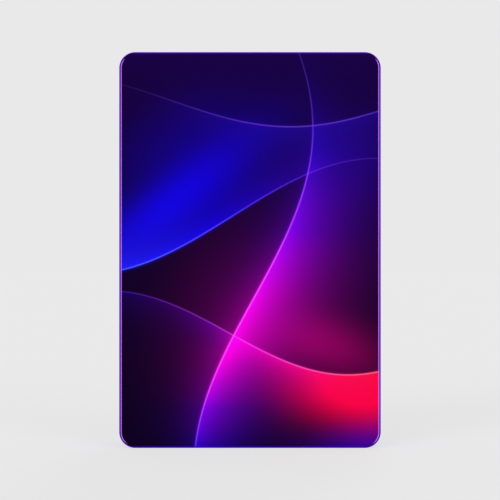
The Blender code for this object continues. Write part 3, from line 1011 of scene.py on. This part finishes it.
def makeCoil(name, side):
    look = zipCoil
    depth = backFace + (look["top"] + look["bottom"]) / 2
    values = {
        "Half Length": look["half"],
        "Points": int(2 * look["half"] / look["pitch"]) * look["pointsPerTurn"] + 1,
        "Wide": (look["outer"] - look["inner"]) / 2 - look["wire"],
        "Deep": (look["top"] - look["bottom"]) / 2 - look["wire"],
        "Wire": look["wire"],
        "Phase": 0.0 if side > 0 else pi,
        "Centre": (0, depth, slotZ + side * (look["outer"] + look["inner"]) / 2),
        "Material": nylon,
    }
    seed = pathMesh(f"coil_{name}", [(0, depth, 0), (look["pitch"], depth, 0)])
    mesh = grown(f"coil_{name}", seed, coils, values)
    return newPiece(f"zip_coil_{name}", mesh, None)


tapeFinish = tapeMaterial()
nylon = wornMaterial("zipNylon", zipCoil)
coilInputs = dict.fromkeys(("Half Length", "Wide", "Deep", "Wire", "Phase"), "Float")
coils = nodeGroup("zipCoil", {**coilInputs, "Points": "Int", "Centre": "Vector"}, zipWire)
for name, side in (("upper", 1), ("lower", -1)):
    mesh, flat = makeTape(name, side)
    tape = newPiece(f"zip_tape_{name}_woven", mesh, tapeFinish)
    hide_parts(f"zip_tape_{name}")
    coil = makeCoil(name, side)
print("zip done")


# Zip stops, slider and pull: die-cast metal swept from rounded sections
metalLook = {
    "Metallic": 1.0,
    "wear": (900, 5),
    "colours": ("505058", "787884"),
    "gloss": (0.20, 0.24),  # roughness: times the wear, and plus
    "grain": (2600, 3),
    "depth": 0.00001,
    "sharpFrom": 50,  # degrees
    "slot": "zip_metal",
}
darkMetal = wornMaterial("zipMetal", metalLook)
lengthways = Vector((1, 0, 0))
upwards = Vector((0, 1, 0))  # away from the back cloth
crossways = Vector((0, 0, 1))


def roundedSection(wide, deep, radius, steps=4):
    # a rounded oblong, centred, as points from corner to corner
    points = []
    for number, (a, b) in enumerate([(1, 1), (-1, 1), (-1, -1), (1, -1)]):
        for step in range(steps + 1):
            turn = (number + step / steps) * pi / 2
            points.append((
                a * (wide / 2 - radius) + radius * cos(turn),
                b * (deep / 2 - radius) + radius * sin(turn),
            ))
    return points


def sweep(bm, path, sections, sideways):
    # a closed bar along a path: each section lies across it, its first axis along sideways
    rings = []
    for number, (point, section) in enumerate(zip(path, sections)):
        before, after = path[max(number - 1, 0)], path[min(number + 1, len(path) - 1)]
        over = sideways.cross(after - before).normalized()
        rings.append([bm.verts.new(point + sideways * a + over * b) for a, b in section])
    made = [bm.faces.new(rings[0]), bm.faces.new(rings[-1])] + joinRows(bm, rings, closed=True)
    bmesh.ops.recalc_face_normals(bm, faces=made)


def bowPath(points, radius, steps=4):
    # a path with its inner corners rounded
    path = [points[0]]
    for before, corner, after in zip(points, points[1:], points[2:]):
        come, go = (before - corner).normalized() * radius, (after - corner).normalized() * radius
        path += [corner + come * (1 - share) ** 2 + go * share ** 2 for share in evenShares(steps)]
    return path + [points[-1]]


def metalPiece(bm, node, ending, material, look):
    # a smooth skin that takes the place of a node and rides on its body
    name = f"{node}_{ending}"
    mesh = meshFrom(bm, name)
    mesh.shade_smooth()
    mesh.set_sharp_from_angle(angle=radians(look["sharpFrom"]))
    body = body_of(frame["nodes"][node])[0]
    piece = newPiece(name, mesh, material, body)
    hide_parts(node)


zipStop = {"wall": 0.0008, "edge": 0.00028, "bend": 0.0007}


def makeStop(side):
    # a strip crimped over the coil's end
    low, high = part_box(f"zip_stop_{side}")
    half = zipStop["wall"] / 2
    out, down, up = high.y - half, low.z + half, high.z - half
    places = [(low.y, down), (out, down), (out, up), (low.y, up)]
    corners = [Vector(((low.x + high.x) / 2, y, z)) for y, z in places]
    path = bowPath(corners, zipStop["bend"])
    section = roundedSection(high.x - low.x, zipStop["wall"], zipStop["edge"])
    bm = bmesh.new()
    sweep(bm, path, [section] * len(path), lengthways)
    metalPiece(bm, f"zip_stop_{side}", "crimped", darkMetal, metalLook)


zipSlider = {
    "plate": 0.0012,
    "flangeWall": 0.0008,
    "channelHalf": 0.0030,  # clears the coil, however narrow the slider is there
    "flangeDrop": 0.0020,
    "tail": 0.88,  # the narrow end's share of the full width
    "tailFrom": (0.2, 0.6),
    "noseRound": 0.14,
    "noseDrop": 0.30,
    "tailRound": 0.08,
    "tailDrop": 0.15,
    "edge": 0.00028,
    "bend": 0.0005,
    "steps": 22,
    "bladeHalf": 0.0020,
    "bladeThick": 0.0006,
    "bladeTaper": (0.2, 0.75, 0.95, 1.0, 0.95, 0.75, 0.2),
    "bridgeOpening": 0.0022,
    "bridgeThick": 0.0010,
    "bridgeWide": 0.0022,
    "bridgeHalf": 0.0045,
    "bridgeBend": 0.0011,
    "sunk": 0.0003,  # how far blade and bridge run into the plates
}


def sliderHalf(share, half):
    # half width along the slider: a narrow tail, a broad shoulder and rounded ends
    look = zipSlider
    reach = half * (look["tail"] + (1 - look["tail"]) * smooth(share, *look["tailFrom"]))
    nose = max(0.0, (share - 1 + look["noseRound"]) / look["noseRound"])
    tail = max(0.0, (look["tailRound"] - share) / look["tailRound"])
    nose, tail = 1 - look["noseDrop"] * nose ** 2, 1 - look["tailDrop"] * tail ** 2
    return reach * sqrt(nose) * sqrt(tail)


def channelSection(half, top, under, foot):
    # the cover plate with a flange down each side and rounded shoulders
    bend = zipSlider["bend"]
    inner = max(half - zipSlider["flangeWall"], zipSlider["channelHalf"])
    turns = [pi / 2 * share for share in evenShares(4)]
    outside = [(half, foot)]
    outside += [(half - bend * (1 - cos(t)), top - bend * (1 - sin(t))) for t in turns]
    mirrored = [(-a, b) for a, b in reversed(outside)]
    return outside + mirrored + [(-inner, foot), (-inner, under), (inner, under), (inner, foot)]


def makeSlider():
    look = zipSlider
    low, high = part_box("zip_slider")
    middle = Vector(((low.x + high.x) / 2, 0, (low.z + high.z) / 2))
    length, half = high.x - low.x, (high.z - low.z) / 2
    top = high.y - look["bridgeThick"] - look["bridgeOpening"]
    under = top - look["plate"]
    baseTop = low.y + look["plate"]
    shares = evenShares(look["steps"])
    halves = [sliderHalf(share, half) for share in shares]
    path = [middle + lengthways * length * (share - 0.5) for share in shares]
    bm = bmesh.new()
    foot = under - look["flangeDrop"]
    sweep(bm, path, [channelSection(reach, top, under, foot) for reach in halves], crossways)
    basePath = [point + upwards * (low.y + baseTop) / 2 for point in path]
    base = [roundedSection(2 * reach, look["plate"], look["edge"]) for reach in halves]
    sweep(bm, basePath, base, crossways)

    # the blade that parts the two half coils
    thick, deep = look["bladeThick"] / 2, (under - baseTop) / 2 + look["sunk"]
    quarter = [(1, 1), (-1, 1), (-1, -1), (1, -1)]
    blade = [[(a * thick * taper, b * deep) for a, b in quarter] for taper in look["bladeTaper"]]
    bladePath = [
        middle + lengthways * look["bladeHalf"] * (2 * share - 1) + upwards * (baseTop + under) / 2
        for share in evenShares(len(blade) - 1)
    ]
    sweep(bm, bladePath, blade, crossways)

    # the bridge that the pull turns under
    reach = look["bridgeHalf"] - look["bridgeThick"] / 2
    crown, foot = high.y - look["bridgeThick"] / 2, top - look["sunk"]
    places = [(-reach, foot), (-reach, crown), (reach, crown), (reach, foot)]
    bow = bowPath([middle + lengthways * x + upwards * y for x, y in places], look["bridgeBend"])
    section = roundedSection(look["bridgeWide"], look["bridgeThick"], look["edge"])
    sweep(bm, bow, [section] * len(bow), crossways)
    metalPiece(bm, "zip_slider", "cast", darkMetal, metalLook)


def flatPlate(outlines, thick):
    # a flat plate with rounded edges, cut along closed outlines in millimetres
    edge = zipPull["edge"]
    data = bpy.data.curves.new("plate", "CURVE")
    data.dimensions = "2D"
    data.fill_mode = "BOTH"
    data.bevel_depth = edge
    data.bevel_resolution = 3
    data.offset = -edge
    data.extrude = thick / 2 - edge
    for outline in outlines:
        spline = data.splines.new("POLY")
        spline.points.add(len(outline) - 1)
        for point, (x, z) in zip(spline.points, outline):
            point.co = (x, z, 0, 1)
        spline.use_cyclic_u = True
    bm = bmesh.new()
    bm.from_mesh(evaluatedMesh("plate", data))
    bmesh.ops.remove_doubles(bm, verts=bm.verts, dist=zipPull["mergeWithin"])
    for vert in bm.verts:
        x, z, y = vert.co / 1000
        vert.co = (x, y, z)
    if bm.calc_volume(signed=True) < 0:
        bmesh.ops.reverse_faces(bm, faces=bm.faces)
    return bm


def pullHalf(far, length, half):
    # half width of the pull so far from its bar: round corners, a waist and a round tip
    look = zipPull
    if far < look["cornerRadius"]:
        radius = look["cornerRadius"]
        return half - radius + sqrt(max(radius ** 2 - (radius - far) ** 2, 0))
    share = min(max((far - look["waistFrom"]) / (look["waistTo"] - look["waistFrom"]), 0), 1)
    reach = half * (1 - look["waistDepth"] * sin(pi * share) ** 2)
    if length - far < half:
        reach *= sqrt(max(1 - (1 - (length - far) / half) ** 2, 0))
    return reach


zipPull = {  # millimetres
    "cornerRadius": 1.2,
    "waistFrom": 6.5,
    "waistTo": 27.0,
    "waistDepth": 0.22,
    "edge": 0.28,
    "mergeWithin": 0.0001,
    "windowFrom": 1.2,
    "windowTo": 6.0,
    "windowWide": 3.2,
    "windowRound": 0.5,
    "ribs": 7,
    "ribPitch": 1.4,
    "ribFrom": 3.6,  # from the tip
    "ribLong": 4.2,
    "ribWide": 0.55,
    "ribHigh": 0.36,
    "ribEdge": 0.36 / 2.2,
    "outlineSteps": 72,
}


def makePull():
    look = zipPull
    low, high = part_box("zip_pull")
    middle = (low + high) / 2
    length, half = (high.x - low.x) * 1000, (high.z - low.z) * 500
    thick = (high.y - low.y) * 1000
    turns = [pi * share for share in evenShares(look["outlineSteps"])]
    fars = [length * (1 - cos(turn)) / 2 for turn in turns]
    straight = ((look["cornerRadius"], look["waistFrom"]), (look["waistTo"], length - half))
    fars = [far for far in fars if not any(start < far < end for start, end in straight)]
    fars = sorted(fars + [far for ends in straight for far in ends])
    edge = [(far, pullHalf(far, length, half)) for far in fars]
    outline = [(-far, reach) for far, reach in edge]
    outline += [(-far, -reach) for far, reach in reversed(edge[1:-1])]
    start, end = look["windowFrom"], look["windowTo"]
    window = roundedSection(end - start, look["windowWide"], look["windowRound"])
    window = [(x - (start + end) / 2, z) for x, z in window]
    bm = flatPlate([outline, window], thick)
    rib = roundedSection(look["ribWide"], look["ribHigh"], look["ribEdge"], 3)
    rib = [(a / 1000, b / 1000) for a, b in rib]
    for number in range(look["ribs"]):
        far = look["ribFrom"] + look["ribPitch"] * number - length
        for face in (-1, 1):
            centre = Vector((far, face * thick / 2, 0)) / 1000
            reach = crossways * look["ribLong"] / 2000
            sweep(bm, [centre - reach, centre + reach], [rib, rib], lengthways)
    for vert in bm.verts:
        vert.co += Vector((high.x, middle.y, middle.z))
    metalPiece(bm, "zip_pull", "cast", darkMetal, metalLook)


for side in ("left", "right"):
    makeStop(side)
makeSlider()
makePull()
print("zip metal done")

# Frame tubes and spring clips: the solids' own shapes, merged into smooth skins
aluminiumLook = {
    "Metallic": 1.0,
    "cloud": (9, 5),
    "wear": (260, 6, 0.7),
    "colours": ("c2c4c9", "e6e8eb"),
    "gloss": (0.30, 0.22),
    "grain": (260, 6, 0.7),
    "depth": 0.00004,
    "sharpFrom": 35,
    "slot": "aluminium_tube",
}
springLook = {
    "Metallic": 1.0,
    "wear": (180, 4),
    "colours": ("9c9fa6", "cdd0d6"),
    "gloss": (0.25, 0.20),
    "grain": (1500, 3),
    "depth": 0.00002,
    "sharpFrom": 35,
    "slot": "spring_steel",
}
tubeNames = ("corner_tube", "post", "crossbar", "spreader")


def smoothCopy(node, ending, material, look):
    bm = bmesh.new()
    knots = [bm.verts.new(vert.co) for vert in node.data.vertices]
    for face in node.data.polygons:
        bm.faces.new([knots[place] for place in face.vertices])
    bmesh.ops.remove_doubles(bm, verts=bm.verts, dist=mergeWithin)
    metalPiece(bm, node.name, ending, material, look)


aluminium = wornMaterial("drawnAluminium", aluminiumLook)
steel = wornMaterial("springSteel", springLook)
for name, node in frame["nodes"].items():
    if name.startswith(tubeNames):
        smoothCopy(node, "drawn", aluminium, aluminiumLook)
    elif name.startswith("snap_clip"):
        smoothCopy(node, "sprung", steel, springLook)
print("frame done")

# Studio
studio = {
    "paper": "e9e9e9",
    "floorShade": 0.20,  # how much of the real shading the floor keeps for the camera
    "floorColour": 0.86,
    "worldLight": 0.55,
    "floorSize": 60.0,
    "lens": 85.0,
    "frameWidth": 2.868,  # metres across the picture at the wall's front edge
    "farClip": 200,
    "sunDistance": 6,
    "suns": {  # azimuth from the front, elevation, strength and softness in degrees
        "keyLight": (-42, 34, 1.05, 30),
        "fillLight": (46, 26, 0.70, 30),
        "rearLight": (165, 34, 0.70, 30),
    },
}


def paperBehind(light, share, kind, output):
    # plain paper for rays that show the background: from the camera, in gloss and through glass
    rays = addNode(light, "ShaderNodeLightPath").node.outputs
    seen = Field(rays["Is Camera Ray"])
    for label in ("Is Glossy Ray", "Is Transmission Ray"):
        seen = seen.math("MAXIMUM", rays[label])
    paper = addNode(light, kind, {"Color": studio["paper"]})
    mix = addNode(light, "ShaderNodeMixShader", {0: seen * share, 1: light, 2: paper})
    feed(light.id_data.nodes[output].inputs["Surface"], mix)


def makeWorld():
    world = bpy.data.worlds.new("studio")
    world.use_nodes = True
    light = world.node_tree.nodes["Background"]
    light.inputs["Color"].default_value = (1, 1, 1, 1)
    light.inputs["Strength"].default_value = studio["worldLight"]
    paperBehind(light.outputs[0], 1, "ShaderNodeBackground", "World Output")
    scene.world = world


def makeFloor():
    bm = bmesh.new()
    bmesh.ops.create_grid(bm, x_segments=8, y_segments=8, size=studio["floorSize"])
    floor = placed("studio_floor", meshFrom(bm, "studio_floor"))
    material, shader = newMaterial("studioFloor", {})
    grey = [studio["floorColour"]] * 3 + [1]
    matt = addNode(shader, "ShaderNodeBsdfDiffuse", {"Color": grey})
    shader.id_data.nodes.remove(shader)
    paperBehind(matt, 1 - studio["floorShade"], "ShaderNodeEmission", "Material Output")
    floor.data.materials.append(material)


def makeSun(name, azimuth, elevation, strength, softness):
    light = bpy.data.lights.new(name, "SUN")
    light.energy = strength
    light.angle = radians(softness)
    lamp = placed(name, light)
    around, up = radians(azimuth), radians(elevation)
    towards = Vector((sin(around) * cos(up), -cos(around) * cos(up), sin(up)))
    lamp.rotation_euler = towards.to_track_quat("Z", "Y").to_euler()
    lamp.location = towards * studio["sunDistance"]


def makeCamera():
    data = bpy.data.cameras.new("camera")
    data.lens = studio["lens"]
    camera = placed("camera", data)
    edge = frontFace + edgeRadius
    distance = studio["frameWidth"] * studio["lens"] / data.sensor_width
    camera.location = (0, edge - distance, midHeight)
    camera.rotation_euler = (pi / 2, 0, 0)
    data.clip_end = studio["farClip"]
    scene.camera = camera


makeWorld()
makeFloor()
for name, values in studio["suns"].items():
    makeSun(name, *values)
makeCamera()
scene.view_settings.view_transform = "Standard"
print("studio done")
